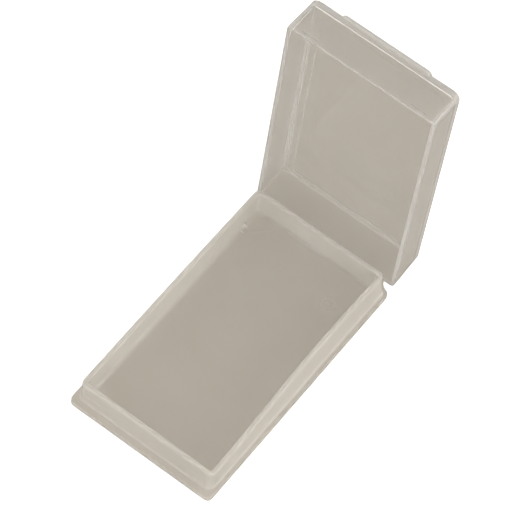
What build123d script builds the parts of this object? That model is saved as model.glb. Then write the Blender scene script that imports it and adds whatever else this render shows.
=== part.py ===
# Small parts storage case: shallow tray, deeper lid, living hinge between them.
# Frame: millimetres, +Z up, +X to the right, +Y to the rear.
# Origin: centre of the tray's bottom face. The lid stands open at 90 degrees, its opening facing the front.
from build123d import *
import os

os.makedirs("parts", exist_ok=True)

# ---------------------------------------------------------------- driving dimensions (mm)
case_w = 50.8            # width of tray rim and lid, along X
case_l = 90.0            # length of the tray over its rim, along Y
corner_r = 1.8           # plan radius of the rim and lid corners

rim_t = 2.1              # thickness of the tray's projecting rim
rim_edge_r = 0.35        # rounding of the rim's lower outer edge
floor_t = 1.15           # tray floor thickness
plug_h = 8.3             # height of the plug wall above the rim
plug_t = 1.5             # plug wall thickness at its top
plug_r = 2.0             # plan radius of the plug wall's outer corners
cavity_r = 0.8           # plan radius of the tray cavity's corners
side_inset = 1.5         # rim showing beside the plug wall
rear_inset = 1.5         # rim showing behind the plug wall
front_inset = 2.35       # rim showing in front of the plug wall
side_draft = 0.10        # plug wall leans in by this much over its height, at the sides
front_draft = 0.10       # the same at the front
rear_draft = 0.15        # the same at the rear
cavity_draft = 0.15      # cavity narrows towards the floor by this much
plug_edge_r = 0.3        # rounding of the plug wall's top edges
floor_fillet = 0.5       # rounding where the cavity walls meet the floor

lid_wall = 1.35          # lid wall thickness
lid_depth = 13.0         # lid depth, from its rim to the outside of its panel
panel_t = 1.3            # lid panel thickness
panel_edge_r = 1.2       # rounding of the panel's outer edges
lid_draft = 0.15         # lid walls lean in by this much towards the panel
lid_cavity_r = 0.8       # plan radius of the lid cavity's corners
lid_setback = 0.55       # lid front face stands this far behind the rim's front edge
seat_gap = 0.05          # gap between the lid's rim and the tray's rim when closed
pad_step = 0.2           # depth of the shallow field inside the panel
pad_side, pad_front, pad_rear = 4.3, 5.5, 3.0   # field edges, from the lid's outer faces
pad_r = 1.5              # plan radius of the field's corners

tab_w = 30.5             # finger tab: width
tab_out = 1.1            # finger tab: projection beyond the lid's front face
tab_t = 1.7              # finger tab: thickness
tab_r = 1.6              # finger tab: plan radius of its corners
tab_edge_r = 0.35        # finger tab: rounding along its free edge

hinge_gap = 0.4          # hinge axis behind the tray's rear edge
film_t = 0.3             # living hinge film thickness
film_w = 44.0            # film length along X, stopping short of the corners

bead_x = 18.6            # snap beads: centre, each side of the middle
bead_w = 6.0             # snap beads: length along X
bead_h = 0.18            # snap beads: projection
bead_half = 0.45         # snap beads: half height
tray_bead_z = 3.0        # tray bead above the rim's top face
lid_bead_d = 1.9         # lid bead, from the lid's rim

# ---------------------------------------------------------------- derived
top_z = rim_t + plug_h
half_w = case_w / 2
half_l = case_l / 2

foot_x = half_w - side_inset                     # plug wall outer face at the rim
foot_yf = -half_l + front_inset
foot_yr = half_l - rear_inset
top_x = foot_x - side_draft                      # plug wall outer face at its top
top_yf = foot_yf + front_draft
top_yr = foot_yr - rear_draft

in_top_x = top_x - plug_t                        # cavity at its mouth
in_top_yf = top_yf + plug_t
in_top_yr = top_yr - plug_t
in_bot_x = in_top_x - cavity_draft               # cavity at the floor
in_bot_yf = in_top_yf + cavity_draft
in_bot_yr = in_top_yr - cavity_draft

axis_y = half_l + hinge_gap                      # hinge axis
axis_z = rim_t
rim_y = axis_y + seat_gap                        # plane of the open lid's rim
panel_y = rim_y + lid_depth - seat_gap           # plane of the panel's outer face
lid_z0 = axis_z + hinge_gap                      # open lid: outer face of its rear wall
lid_z1 = axis_z + hinge_gap + case_l - lid_setback   # open lid: outer face of its front wall


def lid_plane(y):
    """Plane across the open lid at depth y: local x is +X, local y is +Z."""
    return Plane.XZ.offset(-y)


# ---------------------------------------------------------------- base tray
with BuildPart() as base_tray:
    # projecting rim and floor in one slab
    with BuildSketch(Plane.XY):
        RectangleRounded(case_w, case_l, corner_r)
    extrude(amount=rim_t)
    fillet(base_tray.faces().sort_by(Axis.Z)[0].edges(), rim_edge_r)
    # plug wall, leaning in to its top
    with BuildSketch(Plane.XY.offset(floor_t)):
        with Locations((0, (foot_yf + foot_yr) / 2)):
            RectangleRounded(2 * foot_x, foot_yr - foot_yf, plug_r)
    extrude(amount=rim_t - floor_t)
    with BuildSketch(Plane.XY.offset(rim_t)):
        with Locations((0, (foot_yf + foot_yr) / 2)):
            RectangleRounded(2 * foot_x, foot_yr - foot_yf, plug_r)
    with BuildSketch(Plane.XY.offset(top_z)):
        with Locations((0, (top_yf + top_yr) / 2)):
            RectangleRounded(2 * top_x, top_yr - top_yf, plug_r)
    loft()
    fillet(base_tray.faces().sort_by(Axis.Z)[-1].edges(), plug_edge_r)
    # snap beads on the front wall
    bead_z = rim_t + tray_bead_z
    face_y = foot_yf + front_draft * tray_bead_z / plug_h
    with BuildSketch(Plane.YZ.offset(bead_x - bead_w / 2)):
        with BuildLine():
            Polyline((face_y + 0.4, bead_z - bead_half), (face_y, bead_z - bead_half))
            ThreePointArc((face_y, bead_z - bead_half), (face_y - bead_h, bead_z), (face_y, bead_z + bead_half))
            Polyline((face_y, bead_z + bead_half), (face_y + 0.4, bead_z + bead_half),
                     (face_y + 0.4, bead_z - bead_half))
        make_face()
    extrude(amount=bead_w)
    with BuildSketch(Plane.YZ.offset(-bead_x - bead_w / 2)):
        with BuildLine():
            Polyline((face_y + 0.4, bead_z - bead_half), (face_y, bead_z - bead_half))
            ThreePointArc((face_y, bead_z - bead_half), (face_y - bead_h, bead_z), (face_y, bead_z + bead_half))
            Polyline((face_y, bead_z + bead_half), (face_y + 0.4, bead_z + bead_half),
                     (face_y + 0.4, bead_z - bead_half))
        make_face()
    extrude(amount=bead_w)
    # cavity
    with BuildSketch(Plane.XY.offset(floor_t)):
        with Locations((0, (in_bot_yf + in_bot_yr) / 2)):
            RectangleRounded(2 * in_bot_x, in_bot_yr - in_bot_yf, cavity_r)
    with BuildSketch(Plane.XY.offset(top_z)):
        with Locations((0, (in_top_yf + in_top_yr) / 2)):
            RectangleRounded(2 * in_top_x, in_top_yr - in_top_yf, cavity_r)
    loft(mode=Mode.SUBTRACT)
    inner_floor = base_tray.faces().filter_by(Axis.Z).filter_by_position(Axis.Z, floor_t - 0.01, floor_t + 0.01)[0]
    fillet(inner_floor.edges(), floor_fillet)
base_tray.part.label = "base_tray"

# ---------------------------------------------------------------- finger tab
# Outline with quarter-round ends, crossed with a profile whose free edge is rounded. It is part of the lid.
tab_in_z = lid_z1 - 2.5
tab_out_z = lid_z1 + tab_out
with BuildPart() as tab:
    with BuildSketch(lid_plane(panel_y)):
        with BuildLine():
            Polyline((-tab_w / 2, tab_in_z), (-tab_w / 2, tab_out_z), (tab_w / 2, tab_out_z),
                     (tab_w / 2, tab_in_z), (-tab_w / 2, tab_in_z))
        make_face()
        fillet(vertices().group_by(Axis.Z)[-1], tab_r)
    extrude(amount=tab_t)
    with BuildSketch(Plane.YZ.offset(-tab_w / 2)):
        with BuildLine():
            Polyline((panel_y - tab_t, tab_in_z), (panel_y - tab_t, tab_out_z), (panel_y, tab_out_z),
                     (panel_y, tab_in_z), (panel_y - tab_t, tab_in_z))
        make_face()
        fillet(vertices().group_by(Axis.Z)[-1], tab_edge_r)
    extrude(amount=tab_w, mode=Mode.INTERSECT)

# ---------------------------------------------------------------- lid, standing open
with BuildPart() as lid:
    with BuildSketch(lid_plane(rim_y)):
        with Locations((0, (lid_z0 + lid_z1) / 2)):
            RectangleRounded(case_w, lid_z1 - lid_z0, corner_r)
    with BuildSketch(lid_plane(panel_y)):
        with Locations((0, (lid_z0 + lid_z1) / 2)):
            RectangleRounded(case_w - 2 * lid_draft, lid_z1 - lid_z0 - 2 * lid_draft, corner_r)
    loft()
    fillet(lid.faces().sort_by(Axis.Y)[-1].edges(), panel_edge_r)
    # finger tab: the panel runs on past the front wall
    add(tab.part)
    # cavity
    with BuildSketch(lid_plane(rim_y)):
        with Locations((0, (lid_z0 + lid_z1) / 2)):
            RectangleRounded(case_w - 2 * lid_wall, lid_z1 - lid_z0 - 2 * lid_wall, lid_cavity_r)
    with BuildSketch(lid_plane(panel_y - panel_t)):
        with Locations((0, (lid_z0 + lid_z1) / 2)):
            RectangleRounded(case_w - 2 * lid_wall - 2 * lid_draft,
                             lid_z1 - lid_z0 - 2 * lid_wall - 2 * lid_draft, lid_cavity_r)
    loft(mode=Mode.SUBTRACT)
    inner_y = panel_y - panel_t
    inner_panel = lid.faces().filter_by(Axis.Y).filter_by_position(Axis.Y, inner_y - 0.01, inner_y + 0.01)[0]
    fillet(inner_panel.edges(), floor_fillet)
    # shallow field inside the panel
    with BuildSketch(lid_plane(panel_y - panel_t)):
        with Locations((0, (lid_z0 + pad_rear + lid_z1 - pad_front) / 2)):
            RectangleRounded(case_w - 2 * pad_side, lid_z1 - pad_front - lid_z0 - pad_rear, pad_r)
    extrude(amount=-pad_step, mode=Mode.SUBTRACT)
    # snap beads inside the front wall
    in_z = lid_z1 - lid_wall
    bead_y = axis_y + lid_bead_d
    for side in (-1, 1):
        with BuildSketch(Plane.YZ.offset(side * bead_x - bead_w / 2)):
            with BuildLine():
                Polyline((bead_y - bead_half, in_z + 0.4), (bead_y - bead_half, in_z))
                ThreePointArc((bead_y - bead_half, in_z), (bead_y, in_z - bead_h), (bead_y + bead_half, in_z))
                Polyline((bead_y + bead_half, in_z), (bead_y + bead_half, in_z + 0.4),
                         (bead_y - bead_half, in_z + 0.4))
            make_face()
        extrude(amount=bead_w)
lid.part.label = "lid"

# ---------------------------------------------------------------- living hinge film
# A quarter bend from the tray's rear edge up to the underside of the lid's rear wall.
bend_r = lid_z0 - (rim_t - film_t / 2)           # centre-line radius
with BuildPart() as hinge_film:
    with BuildSketch(Plane.YZ.offset(-film_w / 2)):
        with BuildLine():
            r_in, r_out = bend_r - film_t / 2, bend_r + film_t / 2
            CenterArc((half_l, lid_z0), r_out, -90, 90)
            Line((half_l + r_out, lid_z0), (half_l + r_in, lid_z0))
            CenterArc((half_l, lid_z0), r_in, -90, 90)
            Line((half_l, lid_z0 - r_in), (half_l, lid_z0 - r_out))
        make_face()
    extrude(amount=film_w)
hinge_film.part.label = "hinge_film"

print("tray", base_tray.part.bounding_box(), "lid", lid.part.bounding_box(), "film", hinge_film.part.bounding_box())
print("hinge axis y,z", axis_y, axis_z, "film length", bend_r * 3.14159 / 2)

export_step(base_tray.part, "parts/base_tray.step")
export_step(lid.part, "parts/lid.step")
export_step(hinge_film.part, "parts/hinge_film.step")
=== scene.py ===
import bpy
import bmesh
import math
from mathutils import Vector, Matrix


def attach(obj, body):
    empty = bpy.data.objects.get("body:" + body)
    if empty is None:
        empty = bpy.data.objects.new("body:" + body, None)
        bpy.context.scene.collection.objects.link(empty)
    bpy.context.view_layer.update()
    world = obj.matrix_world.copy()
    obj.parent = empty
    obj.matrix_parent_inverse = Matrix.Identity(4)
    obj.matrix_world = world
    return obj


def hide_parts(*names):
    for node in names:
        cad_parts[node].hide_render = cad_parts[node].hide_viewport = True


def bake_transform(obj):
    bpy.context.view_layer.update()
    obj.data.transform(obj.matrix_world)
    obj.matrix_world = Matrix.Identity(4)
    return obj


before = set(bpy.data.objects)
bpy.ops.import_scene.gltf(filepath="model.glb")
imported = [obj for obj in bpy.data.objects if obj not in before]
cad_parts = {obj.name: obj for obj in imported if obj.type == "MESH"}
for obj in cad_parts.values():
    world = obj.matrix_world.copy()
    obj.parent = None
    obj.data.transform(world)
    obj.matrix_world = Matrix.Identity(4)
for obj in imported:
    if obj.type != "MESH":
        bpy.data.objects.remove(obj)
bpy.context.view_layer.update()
sc = bpy.context.scene

MM = 0.001

# ------------------------------------------------------------------ sizes of the frame, in millimetres
HALF_W, HALF_L = 25.4, 45.0        # rim outline
RIM_T, FLOOR_T, TOP_Z = 2.1, 1.15, 10.4
LID_Y0, LID_Y1 = 45.45, 58.4       # rim plane and panel outer face of the open lid
LID_Z0, LID_Z1 = 2.5, 91.95        # outer faces of the lid's rear and front walls


# ------------------------------------------------------------------ camera, at the photograph's viewing angle
def camera():
    az, el, roll = (math.radians(a) for a in (27.304, 59.007, 10.918))
    tx, ty, dist, focal = -0.203, -11.621, 1000.0, 3411.43
    back = Vector((math.sin(az) * math.cos(el), -math.cos(az) * math.cos(el), math.sin(el)))
    right = Vector((math.cos(az), math.sin(az), 0))
    up = back.cross(right)
    c, s = math.cos(roll), math.sin(roll)
    right, up = right * c + up * s, up * c - right * s
    cam = bpy.data.objects.new("camera", bpy.data.cameras.new("camera"))
    cam.data.sensor_fit = "HORIZONTAL"
    cam.data.sensor_width = 36
    cam.data.lens = focal * 36 / 530
    cam.data.clip_start, cam.data.clip_end = 0.05, 20
    m = Matrix((right, up, back)).transposed().to_4x4()
    m.translation = (Vector((0, 15, 5)) - right * tx - up * ty + back * dist) * MM
    cam.matrix_world = m
    sc.collection.objects.link(cam)
    sc.camera = cam


camera()


# ------------------------------------------------------------------ small helpers
def lerp(a, b, t):
    return a + (b - a) * t


def step(t):
    t = min(1.0, max(0.0, t))
    return t * t * (3 - 2 * t)


def arc(n, a0=0.0, a1=90.0):
    return [math.radians(lerp(a0, a1, i / n)) for i in range(n + 1)]


def both_ways(half):
    return [-v for v in reversed(half) if v] + list(half)


NA = 9          # segments in each corner of a ring


def side(lo, hi, r, marks):
    """Positions along one straight side of a ring: the marks as they are, or drawn in if the side is short."""
    c, h = (lo + hi) / 2, (hi - lo) / 2 - r
    top = max(abs(m - c) for m in marks)
    s = min(1.0, (h - 0.04) / top)
    return [c - h] + [c + (m - c) * s for m in marks] + [c + h]


def ring(u0, u1, v0, v1, r, um, vm):
    """Rounded rectangle in (u, v), counter-clockwise from its first corner: (u, v, side) with the same count for any size."""
    us, vs = side(u0, u1, r, um), side(v0, v1, r, vm)
    pts = [(u, v0, "front") for u in us]
    pts += [(u1 - r + r * math.sin(a), v0 + r - r * math.cos(a), "c") for a in arc(NA)[1:-1]]
    pts += [(u1, v, "right") for v in vs]
    pts += [(u1 - r + r * math.cos(a), v1 - r + r * math.sin(a), "c") for a in arc(NA)[1:-1]]
    pts += [(u, v1, "rear") for u in reversed(us)]
    pts += [(u0 + r - r * math.sin(a), v1 - r + r * math.cos(a), "c") for a in arc(NA)[1:-1]]
    pts += [(u0, v, "left") for v in reversed(vs)]
    pts += [(u0 + r - r * math.cos(a), v0 + r - r * math.sin(a), "c") for a in arc(NA)[1:-1]]
    return pts


def add_rings(bm, rings):
    """Joins rings of points into a band of quads, and gives back the first and last ring's vertices."""
    rows = [[bm.verts.new(p) for p in r] for r in rings]
    n = len(rows[0])
    for a, b in zip(rows, rows[1:]):
        for i in range(n):
            j = (i + 1) % n
            bm.faces.new((a[i], a[j], b[j], b[i]))
    return rows[0], rows[-1]


def loop_edges(bm, verts):
    n = len(verts)
    return [bm.edges.get((verts[i], verts[(i + 1) % n])) or bm.edges.new((verts[i], verts[(i + 1) % n])) for i in range(n)]


def disc(bm, centre, axes, rows, n=40):
    """Concentric rows of (radius, depth) round a centre, closed in the middle. Gives back its outer edges."""
    u, v, w = axes
    rings = [[centre + u * (r * math.cos(2 * math.pi * i / n)) + v * (r * math.sin(2 * math.pi * i / n)) + w * d
              for i in range(n)] for r, d in rows]
    first, last = add_rings(bm, rings)
    bm.faces.new(last)
    return loop_edges(bm, first)


def cap(bm, outer, holes=()):
    """Closes a flat ring, round any disc standing in it."""
    if not holes:
        bm.faces.new(outer)
        return
    edges = loop_edges(bm, outer)
    for h in holes:
        edges += h
    bmesh.ops.triangle_fill(bm, use_beauty=True, use_dissolve=False, edges=edges)


def finish_mesh(name, bm, body, node, mat, sharp=34):
    """Writes the mesh in metres, smooth but for its true edges, as one closed piece standing for its node."""
    bmesh.ops.recalc_face_normals(bm, faces=bm.faces)
    for f in bm.faces:
        f.smooth = True
    for e in bm.edges:
        if len(e.link_faces) == 2 and e.calc_face_angle(0) > math.radians(sharp):
            e.smooth = False
    bmesh.ops.scale(bm, vec=(MM, MM, MM), verts=bm.verts)
    me = bpy.data.meshes.new(name)
    bm.to_mesh(me)
    bm.free()
    me.materials.append(mat)
    o = bpy.data.objects.new(name, me)
    sc.collection.objects.link(o)
    if body:
        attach(o, body)
    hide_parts(node)
    return o


def bead(x, v, mid, height=0.18, half=0.45, x0=15.6, x1=21.4):
    """Height of the snap beads at x along a wall and v across the bead."""
    a = abs(x)
    if not (x0 < a < x1) or abs(v - mid) >= half:
        return 0.0
    ends = step((a - x0) / 0.35) * step((x1 - a) / 0.35)
    return height * (1 - ((v - mid) / half) ** 2) * ends


# ------------------------------------------------------------------ materials
TRAY_TINT = ((0.985, 0.97, 0.94, 1), (0.955, 0.93, 0.89, 1))      # where the plastic is clearer, and where it is cloudier
LID_TINT = ((0.985, 0.98, 0.97, 1), (0.962, 0.953, 0.938, 1))
TRAY_CLOUD, LID_CLOUD = (1, 0.98, 0.94, 1), (0.993, 0.996, 0.992, 1)
BUMP = 0.6
TRAY = dict(rough=0.34, haze=200, cloud=TRAY_CLOUD, clear=0.945, gloss=0.5, frost=0.3)
WALLS, REAR_WALL = 0.055, 0.028          # how much less clear the tray's side walls are, and its rear wall on top of that
LID = dict(rough=0.12, haze=200, cloud=LID_CLOUD, clear=1.0, gloss=0.0, frost=0.06)


def frosted(name, tint, gate, shift, rough, haze, cloud, clear, gloss, frost, walls=False):
    """Translucent moulded plastic: clouded inside, with a fine frost, flow marks round its gate and light scuffs."""
    m = bpy.data.materials.new(name)
    m.use_nodes = True
    nt = m.node_tree
    add, join = nt.nodes.new, nt.links.new
    p = nt.nodes["Principled BSDF"]
    p.inputs["IOR"].default_value = 1.49
    p.inputs["Transmission Weight"].default_value = clear
    p.inputs["Coat Weight"].default_value = gloss
    p.inputs["Coat Roughness"].default_value = 0.07
    p.inputs["Coat IOR"].default_value = 1.49
    where = add("ShaderNodeTexCoord").outputs["Object"]

    def place(scale=(1, 1, 1), turn=(0, 0, 0), move=(0, 0, 0)):
        n = add("ShaderNodeMapping")
        n.inputs["Location"].default_value = move
        n.inputs["Rotation"].default_value = turn
        n.inputs["Scale"].default_value = scale
        join(where, n.inputs["Vector"])
        return n.outputs["Vector"]

    def noise(scale, detail, vector, distortion=0.0):
        n = add("ShaderNodeTexNoise")
        n.inputs["Scale"].default_value = scale
        n.inputs["Detail"].default_value = detail
        n.inputs["Distortion"].default_value = distortion
        join(vector, n.inputs["Vector"])
        return n.outputs["Fac"]

    def remap(value, a0, a1, b0, b1):
        n = add("ShaderNodeMapRange")
        for k, v in zip(("From Min", "From Max", "To Min", "To Max"), (a0, a1, b0, b1)):
            n.inputs[k].default_value = v
        join(value, n.inputs["Value"])
        return n.outputs["Result"]

    def blend(a, ka, b, kb):
        """ka * a + kb * b"""
        first = add("ShaderNodeMath")
        first.operation = "MULTIPLY"
        first.inputs[1].default_value = kb
        join(b, first.inputs[0])
        n = add("ShaderNodeMath")
        n.operation = "MULTIPLY_ADD"
        n.inputs[1].default_value = ka
        join(a, n.inputs[0])
        join(first.outputs[0], n.inputs[2])
        return n.outputs[0]

    moved = place(move=shift)
    # flow marks: rings that spread unevenly from the gate
    flow = add("ShaderNodeTexWave")
    flow.wave_type = "RINGS"
    flow.rings_direction = "SPHERICAL"
    flow.inputs["Scale"].default_value = 38
    flow.inputs["Distortion"].default_value = 9
    flow.inputs["Detail"].default_value = 2
    flow.inputs["Detail Scale"].default_value = 0.6
    join(place(move=tuple(-g for g in gate)), flow.inputs["Vector"])
    flow = flow.outputs["Fac"]
    # scuffs: thin soft lines from things sliding in and out
    scuffs = remap(noise(1.0, 1.0, place((300, 5200, 1500), (0, 0, 0.3), shift)), 0.6, 0.8, 0, 1)
    ramp = add("ShaderNodeValToRGB")
    ramp.color_ramp.elements[0].color, ramp.color_ramp.elements[0].position = tint[0], 0.3
    ramp.color_ramp.elements[1].color, ramp.color_ramp.elements[1].position = tint[1], 0.72
    join(blend(noise(70, 3.0, moved, 0.4), 0.85, flow, 0.15), ramp.inputs["Fac"])
    join(ramp.outputs["Color"], p.inputs["Base Color"])
    join(blend(remap(noise(420, 2.0, moved), 0.3, 0.7, rough * 0.92, rough * 1.08), 1.0, scuffs, 0.05), p.inputs["Roughness"])
    bump = add("ShaderNodeBump")
    bump.inputs["Strength"].default_value = BUMP
    bump.inputs["Distance"].default_value = 0.00001
    join(blend(noise(5200, 1.0, moved), frost, flow, 0.2), bump.inputs["Height"])
    join(bump.outputs["Normal"], p.inputs["Normal"])
    if walls:
        # cloudier walls above the floor, most at their foot, but for the front one
        at = add("ShaderNodeSeparateXYZ")
        join(where, at.inputs[0])

        def times(a, b):
            n = add("ShaderNodeMath")
            n.operation = "MULTIPLY"
            join(a, n.inputs[0])
            join(b, n.inputs[1])
            return n.outputs[0]

        up = times(remap(at.outputs["Z"], 0.0019, 0.0026, 0, 1), remap(at.outputs["Z"], 0.0026, 0.0104, 1.9, 0.7))
        along = blend(remap(at.outputs["Y"], -0.0415, -0.037, 0, 1), WALLS, remap(at.outputs["Y"], 0.037, 0.0405, 0, 1), REAR_WALL)
        join(remap(times(up, along), 0, 1, clear, clear - 1), p.inputs["Transmission Weight"])
    vs = add("ShaderNodeVolumeScatter")
    vs.inputs["Color"].default_value = cloud
    vs.inputs["Density"].default_value = haze
    join(vs.outputs[0], nt.nodes["Material Output"].inputs["Volume"])
    return m


TRAY_PP = frosted("frosted_polypropylene", TRAY_TINT, (0, 0, 0), (0.31, 0.07, 0.19), walls=True, **TRAY)
LID_PP = frosted("polished_polypropylene", LID_TINT, (0, 0.0584, 0.047), (0.83, 0.41, 0.57), **LID)
FILM = frosted("hinge_polypropylene", TRAY_TINT, (0, 0.045, 0.0021), (0.12, 0.91, 0.35), **TRAY)


# ------------------------------------------------------------------ base tray
XM = both_ways([0, 2.4, 4.8, 7.2, 9.6, 11.6, 13.4, 14.8, 15.4, 15.6, 15.72, 15.85, 15.98, 16.6, 17.6, 18.6, 19.6, 20.4, 20.9,
                21.03, 21.15, 21.28, 21.4, 22.1])
YM = both_ways([0, 2, 4, 6, 8, 10, 12, 14, 16, 18, 20, 22, 24, 26, 28, 30, 31.5] + [32.5 + 0.15 * i for i in range(21)]
               + [36.2, 37.5, 38.7, 39.4])

BEAD_Z = RIM_T + 3.0
MARK_A, MARK_B = (-21.3, 34.0), (13.4, 29.2)
LEAD = 0.7
LEFT_FILLET = 1.5


def tray_lean(x, y, z):
    """The plug walls have pulled in as they cooled: most at the right, towards the rear."""
    s = max(0.0, (z - RIM_T) / (TOP_Z - RIM_T))
    t = (y + 41) / 83
    right = -1.25 * step((t - 0.02) / 0.62) * (1 - 0.25 * step((t - 0.72) / 0.28))
    left = -0.15 * math.sin(math.pi * min(1, max(0, t))) ** 1.2
    g = x / 23.8
    dx = (right * step((g + 0.05) / 1.0) if g > -0.05 else 0.0) + left * step(-g)
    dy = 0.0
    bow = max(0.0, 1 - (x / 22) ** 2)
    if y > 41:
        dy = -0.18 * bow
    elif y < -40.5:
        dy = 0.10 * bow
    return x + dx * s, y + dy * s, z


def make_tray():
    bm = bmesh.new()
    rows = []

    def row(i_side, i_front, i_rear, r, z, drop=0.0):
        """One ring, given by how far it stands in from the rim outline at the sides, the front and the rear."""
        pts = ring(-HALF_W + i_side, HALF_W - i_side, -HALF_L + i_front, HALF_L - i_rear, r, XM, YM)
        out = []
        for x, y, s in pts:
            if s == "front" and 3 < z < 7 and i_side < 2:
                y -= bead(x, z, BEAD_Z)
            if z <= RIM_T and i_rear < 1.45 and y > 40:
                y -= 1.15 * (1 - i_rear / 1.45) * step((abs(x) - 22.1) / 1.4)
            out.append(Vector(tray_lean(x, y, z - drop * lead(x, y))))
        rows.append(out)

    def lead(x, y):
        """1 along the front and the right, where the top edge falls away further to lead the lid on."""
        return step((x + 23.0) / 3.5) * step((42.5 - y) / 3.5)

    # underside (its rear corners drawn in past the hinge's ends), rounded lower edge of the rim, rim side, and its softer upper edge
    row(0.75, 0.75, 0.75, 1.1, 0.0)
    for a in arc(5):
        i = 0.35 * (1 - math.sin(a))
        row(i, i, i, 1.8 - i, 0.35 * (1 - math.cos(a)))
    row(0, 0, 0, 1.8, 0.42)
    row(0, 0, 0, 1.8, 1.86)
    for a in arc(4):
        i = 0.18 * (1 - math.cos(a))
        row(i, i, i, 1.8 - i, RIM_T - 0.18 + 0.18 * math.sin(a))
    row(0.24, 0.24, 0.24, 1.6, RIM_T)
    # top of the rim, in to the foot of the plug wall
    c = 0.42
    for i, z in [(1.3, 0), (1.15, 0), (0.95, 0.08), (0.5, 0.5), (0.08, 0.95), (0, 1.15)]:
        row(1.5 - c * i, 2.35 - c * i, 1.5 - c * i, 2.0 + c * i, RIM_T + c * z)

    def wall(z):
        t = (z - RIM_T) / 8.3
        return 1.5 + 0.10 * t, 2.35 + 0.10 * t, 1.5 + 0.15 * t

    for z in [2.75, 3.1, 3.7, 4.3, 4.6, 4.65, 4.72, 4.82, 4.95, 5.1, 5.25, 5.38, 5.48, 5.55, 5.6, 5.9, 6.5, 7.2, 7.9, 8.4]:
        row(*wall(z), 2.0, z)
    # rounded top edge, wider outside, where it leads the lid on
    e = 0.55
    for a in arc(10):
        d = e * (1 - math.cos(a))
        w = wall(TOP_Z - e)
        row(w[0] + d, w[1] + d, w[2] + d, 2.0 - 0.8 * d, TOP_Z - e + e * math.sin(a), drop=LEAD * (1 - math.sin(a)))
    w = wall(TOP_Z)
    row(w[0] + e + 0.05, w[1] + e + 0.05, w[2] + e + 0.05, 1.5, TOP_Z)
    e = 0.42
    row(w[0] + 1.5 - e - 0.05, w[1] + 1.5 - e - 0.05, w[2] + 1.5 - e - 0.05, 1.3, TOP_Z)

    def inner(z):
        t = (TOP_Z - z) / (TOP_Z - FLOOR_T)
        return 3.1 + 0.15 * t, 3.95 + 0.15 * t, 3.15 + 0.15 * t

    for a in arc(5):
        d = e * (1 - math.sin(a))
        w = inner(TOP_Z)
        row(w[0] - d, w[1] - d, w[2] - d, 0.8 + d, TOP_Z - e * (1 - math.cos(a)))
    for z in [9.9, 9.4, 8.6, 7.6, 6.5, 5.4, 4.3, 3.3, 2.9, 2.7]:
        row(*inner(z), 0.8, z)
    # fillet round the floor, wider along the left, with a round mark standing on it there
    w = inner(FLOOR_T)

    def inset(d):
        return ring(-HALF_W + w[0] + d, HALF_W - w[0] - d, -HALF_L + w[1] + d, HALF_L - w[2] - d, max(0.26, 0.8 - d), XM, YM)

    fillet = [lerp(0.55, LEFT_FILLET, step((-x - 18.0) / 3.6)) for x, y, s in inset(0)]
    for a, more in [(a, 0) for a in arc(18)] + [(math.radians(90), 0.1)]:
        out = []
        for i, fl in enumerate(fillet):
            x, y, s = inset(fl * (1 - math.cos(a)) + more)[i]
            z = FLOOR_T + fl * (1 - math.sin(a))
            far = math.hypot(x - MARK_A[0], y - MARK_A[1])
            h = 0.34 * math.exp(-((far - 1.2) / 0.26) ** 2) - 0.2 * math.exp(-(far / 0.5) ** 2)
            if s == "left" and not more:
                x, z = x + h * math.cos(a), z + h * math.sin(a)
            out.append(Vector(tray_lean(x, y, z)))
        rows.append(out)
    first, last = add_rings(bm, rows)

    X, Y, Z = Vector((1, 0, 0)), Vector((0, 1, 0)), Vector((0, 0, 1))
    # another plain round mark stands up from the floor near the rear
    cap(bm, last, [
        disc(bm, Vector((*MARK_B, FLOOR_T)), (X, Y, Z),
             [(2.62, 0), (2.54, 0.04), (2.42, 0.17), (2.3, 0.2), (2.18, 0.17), (2.06, 0.04), (1.98, 0), (1.24, 0), (1.16, 0.03),
              (1.04, 0.14), (0.94, 0.16), (0.84, 0.14), (0.72, 0.03), (0.64, 0)]),
    ])
    # the injection point, in a shallow dish in the underside
    cap(bm, first, [
        disc(bm, Vector((0, 0, 0)), (X, Y, Z),
             [(2.1, 0), (1.95, 0.02), (1.75, 0.07), (1.6, 0.08), (0.75, 0.08), (0.68, 0.07), (0.6, 0.03), (0.5, 0.02)]),
    ])
    return finish_mesh("tray_moulding", bm, "base", "base_tray", TRAY_PP)


# ------------------------------------------------------------------ lid, standing open
XL = both_ways([0, 2.2, 4.4, 6.6, 8.8, 10.8, 12.4, 13.3, 13.65, 13.95, 14.25, 14.5, 14.72, 14.9, 15.03, 15.12, 15.18, 15.24, 15.6,
                15.72, 15.85, 15.98, 16.6, 17.6, 18.6, 19.6, 20.4, 20.9, 21.03, 21.15, 21.28, 21.4, 22.2])
ZL = [LID_Z0 + 3 + i * (LID_Z1 - LID_Z0 - 6) / 40 for i in range(41)]

TAB_W, TAB_TOP, TAB_Y, TAB_R, TAB_E = 15.25, LID_Z1 + 1.1, LID_Y1 - 1.7, 1.6, 0.35


def tab_drop(x):
    """How far the tab's edge falls towards its quarter-round ends."""
    a = abs(x) - (TAB_W - TAB_R)
    return 0.0 if a <= 0 else TAB_R - math.sqrt(max(0.0, TAB_R ** 2 - a ** 2))


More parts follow.
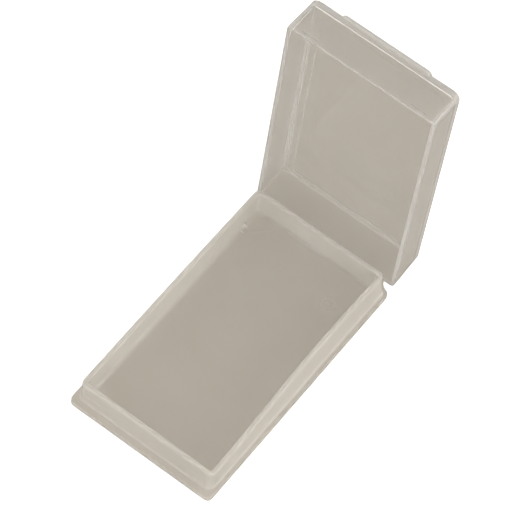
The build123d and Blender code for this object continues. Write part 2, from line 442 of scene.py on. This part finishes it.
def make_lid():
    bm = bmesh.new()
    rows = []
    depth = LID_Y1 - LID_Y0

    def row(inset, y, r, tab=None, beads=False, box=None):
        """One ring at depth y. Side "front" of the generator is the lid's rear wall, low down; "rear" is its front wall, on top."""
        u0, u1, v0, v1 = box or (-HALF_W + inset, HALF_W - inset, LID_Z0 + inset, LID_Z1 - inset)
        out = []
        for x, z, s in ring(u0, u1, v0, v1, r, XL, ZL):
            yy = y
            if s == "rear":
                if tab and abs(x) < 15.21:
                    ty, tz = tab
                    tz -= tab_drop(x)
                    yy = ty
                    z = max(tz, z) if ty < LID_Y1 - 1.0 else tz
                if beads:
                    z -= bead(x, yy, LID_Y0 - 0.05 + 1.9)
            out.append(Vector((x, yy, z)))
        rows.append(out)

    def draft(y):
        return 0.05 * (y - LID_Y0) / depth

    def corner(y):
        return 1.6 + 1.1 * step((y - LID_Y0) / depth)

    e = 0.38
    for a in arc(4):
        row(e * (1 - math.sin(a)), LID_Y0 + e * (1 - math.cos(a)), 1.6 - e * (1 - math.sin(a)))
    for y in [45.95, 46.6, 47.8, 49.2, 50.6, 52, 53.4, 54.6, 55.6, 56.3, TAB_Y - 0.06, TAB_Y - 0.02]:
        row(draft(y), y, corner(y))
    # tab rows, each with where the plain wall stands meanwhile
    tabs = [(TAB_Y + TAB_E * (1 - math.cos(a)), TAB_TOP - TAB_E * (1 - math.sin(a))) for a in arc(4)]
    tabs += [((TAB_Y + LID_Y1) / 2, TAB_TOP)]
    tabs += [(LID_Y1 - TAB_E * (1 - math.sin(a)), TAB_TOP - TAB_E * (1 - math.cos(a))) for a in arc(4)]
    tabs += [(LID_Y1, TAB_TOP - TAB_E - 0.12), (LID_Y1, LID_Z1 - 0.25)]
    pr = 0.8
    plain = [(draft(y), y, corner(y)) for y in (TAB_Y, TAB_Y + 0.25, TAB_Y + 0.5, TAB_Y + 0.75)]
    for a in arc(9)[:-1]:
        d = pr * (1 - math.cos(a))
        plain.append((0.05 + d, LID_Y1 - pr + pr * math.sin(a), 2.7 - d * 0.85))
    for (i, y, r), t in zip(plain, tabs):
        row(i, y, r, tab=t)
    assert len(plain) == len(tabs)
    row(0.05 + pr, LID_Y1, 2.7 - pr * 0.85)
    row(0.05 + pr + 0.1, LID_Y1, 1.9)
    rows.reverse()                       # from the panel's middle out to the rim
    rim = len(rows)
    # rim face and inner side
    wl = 1.35
    row(e + 0.05, LID_Y0, 1.3)
    e = 0.45
    row(wl - e - 0.05, LID_Y0, 1.1)
    for a in arc(5):
        d = e * (1 - math.sin(a))
        row(wl - d, LID_Y0 + e * (1 - math.cos(a)), 0.8 + d)
    inner_y = LID_Y1 - 1.3

    def di(y):
        return wl + 0.15 * (y - LID_Y0) / (inner_y - LID_Y0)

    fl = 1.3
    for y in [45.95, 46.3, 46.7, 46.82, 46.87, 46.95, 47.05, 47.17, 47.3, 47.43, 47.55, 47.65, 47.73, 47.78, 47.9, 48.6, 49.8, 51,
              52.2, 53.4, 54.6, 55.3, inner_y - fl - 0.05]:
        row(di(y), y, 0.8, beads=True)
    for a in arc(8):
        d = fl * (1 - math.cos(a))
        row(wl + 0.15 + d, inner_y - fl * (1 - math.sin(a)), 0.8 + 0.5 * d)
    row(wl + 0.15 + fl + 0.1, inner_y, 1.2)
    # shallow field inside the panel, with its rounded step
    fx, f0, f1, fr = HALF_W - 4.3, LID_Z0 + 3.5, LID_Z1 - 5.5, 1.5

    def field(g, y):
        row(0, y, max(0.6, fr + g), box=(-fx - g, fx + g, f0 - g, f1 + g))

    field(0.22, inner_y)
    for g, dy in [(0.15, -0.02), (0.09, -0.07), (0.03, -0.08), (-0.03, -0.03), (-0.09, 0.08), (-0.15, 0.17), (-0.24, 0.2), (-0.4, 0.2)]:
        field(g, inner_y + dy)
    first, last = add_rings(bm, rows)
    bm.faces.new(first)
    bm.faces.new(last)
    return finish_mesh("lid_moulding", bm, "lid", "lid", LID_PP)


# ------------------------------------------------------------------ living hinge
def make_film():
    """A thin strap in a quarter bend, thinnest along its middle, with rounded ends."""
    bm = bmesh.new()
    half, cy, cz = 22.0, 45.0, 2.5
    xs = [-half + v for v in (0, 0.05, 0.2, 0.5, 1.0)] + [i * 2.0 for i in range(-10, 11)] + [half - v for v in (1.0, 0.5, 0.2, 0.05, 0)]
    n = 18
    rows = []
    for x in xs:
        # drawn in a little at both ends
        k = 1.0 if abs(x) < half - 0.5 else math.sqrt(max(0.02, 1 - ((abs(x) - half + 0.5) / 0.5) ** 2))
        ringpts = []
        for i in range(n + 1):
            a = math.radians(-90 + 90 * i / n)
            t = 0.15 * (1 - 0.22 * math.sin(math.pi * i / n) ** 2) * (0.55 + 0.45 * k)
            r = 0.55 + t
            ringpts.append(Vector((x, cy + r * math.cos(a), cz + r * math.sin(a))))
        for i in range(n, -1, -1):
            a = math.radians(-90 + 90 * i / n)
            t = 0.15 * (1 - 0.22 * math.sin(math.pi * i / n) ** 2) * (0.55 + 0.45 * k)
            r = 0.55 - t
            ringpts.append(Vector((x, cy + r * math.cos(a), cz + r * math.sin(a))))
        rows.append(ringpts)
    first, last = add_rings(bm, rows)
    bm.faces.new(first)
    bm.faces.new(last)
    return finish_mesh("living_hinge", bm, None, "hinge_film", FILM)


make_tray()
make_lid()
film = make_film()
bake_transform(film)


# ------------------------------------------------------------------ stage: pale table, with the lid's side of it lower
def plane(name, corners, mat):
    me = bpy.data.meshes.new(name)
    me.from_pydata(corners, [], [(0, 1, 2, 3)])
    me.materials.append(mat)
    o = bpy.data.objects.new(name, me)
    sc.collection.objects.link(o)
    return o


FLOOR_GLOW = (0.382, 0.345, 0.294, 1)
GLOW_FRONT = 0.13
FLOOR_DIM = (0.05, 0.045, 0.04, 1)
WORLD = (1.0, 0.965, 0.91, 1)
SKY = [(-1.0, 0.5), (1.0, 0.45), (-0.1, 0.8), (0.0, 1.9), (0.1, 2.25), (0.28, 2.35), (0.47, 2.25), (0.62, 0.8), (0.8, 0.5)]
SKY_RIGHT, SKY_BACK = 2.0, -1.0


def floor_material():
    m = bpy.data.materials.new("pale_floor")
    m.use_nodes = True
    nt = m.node_tree
    nt.nodes.clear()
    out = nt.nodes.new("ShaderNodeOutputMaterial")
    glow = nt.nodes.new("ShaderNodeEmission")
    glow.inputs[0].default_value = (1, 1, 1, 1)
    glow.inputs[1].default_value = 0.8
    pale = nt.nodes.new("ShaderNodeBsdfDiffuse")
    pale.inputs[0].default_value = (0.6, 0.6, 0.6, 1)
    add = nt.nodes.new("ShaderNodeAddShader")
    buff = nt.nodes.new("ShaderNodeEmission")           # what the plastic sees of the table: an even beige
    buff.inputs[0].default_value = FLOOR_GLOW
    where = nt.nodes.new("ShaderNodeTexCoord")
    sep = nt.nodes.new("ShaderNodeSeparateXYZ")
    nt.links.new(where.outputs["Object"], sep.inputs[0])
    near = nt.nodes.new("ShaderNodeMapRange")            # a little more of it towards the front
    near.interpolation_type = "SMOOTHSTEP"
    for k, v in (("From Min", 0.03), ("From Max", -0.045), ("To Min", 1.02), ("To Max", 1.02 + GLOW_FRONT)):
        near.inputs[k].default_value = v
    nt.links.new(sep.outputs["Y"], near.inputs["Value"])
    nt.links.new(near.outputs["Result"], buff.inputs[1])
    dim = nt.nodes.new("ShaderNodeBsdfDiffuse")
    dim.inputs[0].default_value = FLOOR_DIM
    grey = nt.nodes.new("ShaderNodeAddShader")
    nt.links.new(buff.outputs[0], grey.inputs[0])
    nt.links.new(dim.outputs[0], grey.inputs[1])
    rays = nt.nodes.new("ShaderNodeLightPath")
    mix = nt.nodes.new("ShaderNodeMixShader")
    nt.links.new(glow.outputs[0], add.inputs[0])
    nt.links.new(pale.outputs[0], add.inputs[1])
    nt.links.new(rays.outputs["Is Camera Ray"], mix.inputs[0])
    nt.links.new(grey.outputs[0], mix.inputs[1])
    nt.links.new(add.outputs[0], mix.inputs[2])
    nt.links.new(mix.outputs[0], out.inputs[0])
    return m


fl = floor_material()
T0, EDGE, LOW = -0.00015, 0.0465, -0.02          # the table is a hair under the tray, as a real one is
plane("floor", [(-1.5, -1.5, T0), (1.5, -1.5, T0), (1.5, EDGE, T0), (-1.5, EDGE, T0)], fl)
plane("floor_edge", [(-1.5, EDGE, T0), (1.5, EDGE, T0), (1.5, EDGE, LOW), (-1.5, EDGE, LOW)], fl)
plane("floor_low", [(-1.5, EDGE, LOW), (1.5, EDGE, LOW), (1.5, 2.5, LOW), (-1.5, 2.5, LOW)], fl)


def studio():
    """A white room with a ring of soft light above the object's level, dimmer overhead."""
    w = bpy.data.worlds.new("studio")
    sc.world = w
    w.use_nodes = True
    nt = w.node_tree
    bg = nt.nodes["Background"]
    out = nt.nodes["World Output"]
    tc = nt.nodes.new("ShaderNodeTexCoord")
    sep = nt.nodes.new("ShaderNodeSeparateXYZ")
    nt.links.new(tc.outputs["Generated"], sep.inputs[0])
    ramp = nt.nodes.new("ShaderNodeFloatCurve")
    c = ramp.mapping.curves[0]
    for i, (z, v) in enumerate(SKY):
        if i < 2:
            c.points[i].location = ((z + 1) / 2, v / 5)
        else:
            c.points.new((z + 1) / 2, v / 5)
    ramp.mapping.update()
    half = nt.nodes.new("ShaderNodeMath")
    half.operation = "MULTIPLY_ADD"
    half.inputs[1].default_value = half.inputs[2].default_value = 0.5
    nt.links.new(sep.outputs["Z"], half.inputs[0])
    nt.links.new(half.outputs[0], ramp.inputs["Value"])
    # a little more from the right, and less from behind
    back = nt.nodes.new("ShaderNodeMath")
    back.operation = "MULTIPLY_ADD"
    back.inputs[1].default_value = SKY_BACK
    back.inputs[2].default_value = 5.0
    nt.links.new(sep.outputs["Y"], back.inputs[0])
    side = nt.nodes.new("ShaderNodeMath")
    side.operation = "MULTIPLY_ADD"
    side.inputs[1].default_value = SKY_RIGHT
    nt.links.new(sep.outputs["X"], side.inputs[0])
    nt.links.new(back.outputs[0], side.inputs[2])
    mul = nt.nodes.new("ShaderNodeMath")
    mul.operation = "MULTIPLY"
    nt.links.new(ramp.outputs[0], mul.inputs[0])
    nt.links.new(side.outputs[0], mul.inputs[1])
    nt.links.new(mul.outputs[0], bg.inputs["Strength"])
    bg.inputs["Color"].default_value = WORLD
    white = nt.nodes.new("ShaderNodeBackground")
    white.inputs["Strength"].default_value = 1.3
    white.inputs["Color"].default_value = (1, 1, 1, 1)
    rays = nt.nodes.new("ShaderNodeLightPath")
    mix = nt.nodes.new("ShaderNodeMixShader")
    nt.links.new(rays.outputs["Is Camera Ray"], mix.inputs[0])
    nt.links.new(bg.outputs[0], mix.inputs[1])
    nt.links.new(white.outputs[0], mix.inputs[2])
    nt.links.new(mix.outputs[0], out.inputs["Surface"])


studio()

sc.view_settings.view_transform = "Standard"
sc.cycles.use_denoising = True
sc.cycles.volume_bounces = 12
sc.cycles.transmission_bounces = 32
sc.cycles.glossy_bounces = 16
sc.cycles.max_bounces = 40
